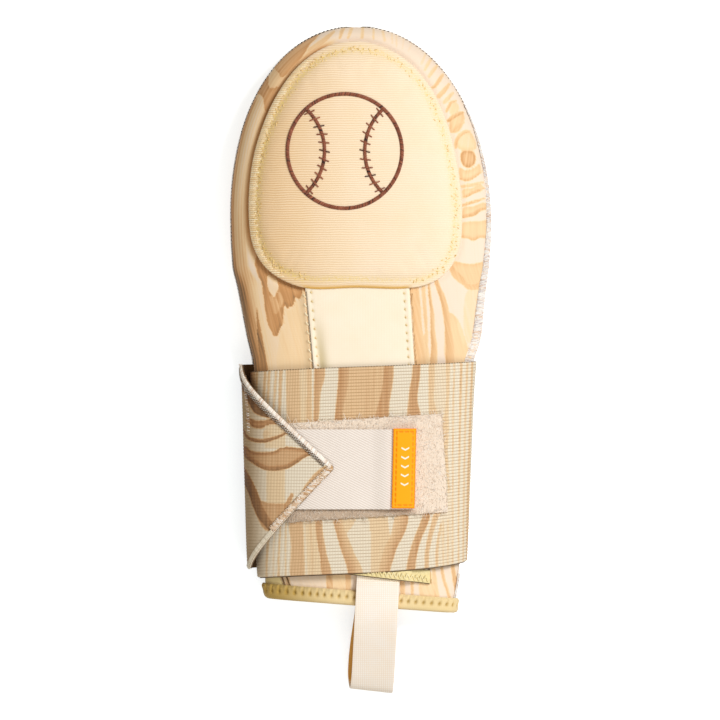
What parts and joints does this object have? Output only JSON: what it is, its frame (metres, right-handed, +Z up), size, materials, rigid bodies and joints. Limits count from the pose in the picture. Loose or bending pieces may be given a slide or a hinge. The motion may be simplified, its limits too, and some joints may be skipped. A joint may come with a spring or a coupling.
{
  "type": "sliding mitt",
  "caption": "Padded sports mitt that takes the whole hand, with a knuckle pad, a bound cuff, a wide elastic wrist strap with hook and loop fastening, and a pull loop.",
  "frame": {"origin": "middle of the surface the mitt lies on, under the centre of its box", "axes": "+Y from the cuff to the fingertips, +Z up out of the back of the hand, +X to the right seen from above"},
  "size_m": [0.1301, 0.3346, 0.0429],
  "materials": {
    "printed_fabric": "smooth stretch fabric with a wood-grain print",
    "stretch_fabric": "smooth cream stretch fabric",
    "knit_fabric": "fine ribbed cream knit",
    "binding_tape": "pale yellow folded tape, zigzag stitched",
    "ribbed_elastic": "ribbed woven elastic with a wood-grain print",
    "loop_tape": "fuzzy loop tape",
    "twill_tape": "pale twill back of hook tape",
    "orange_rubber": "moulded satin rubber",
    "webbing": "flat cream webbing"
  },
  "bodies": {
    "root": {"back_shell": "printed_fabric", "back_fingers": "printed_fabric", "palm_shell": "printed_fabric", "palm_fingers": "printed_fabric", "cuff_gusset": "stretch_fabric", "centre_panel": "stretch_fabric", "knuckle_pad": "knit_fabric", "cuff_binding": "binding_tape", "wrist_strap": "ribbed_elastic", "loop_patch": "loop_tape", "hook_tab": "twill_tape", "pull_tag": "orange_rubber", "pull_loop": "webbing"}
  },
  "joints": []
}
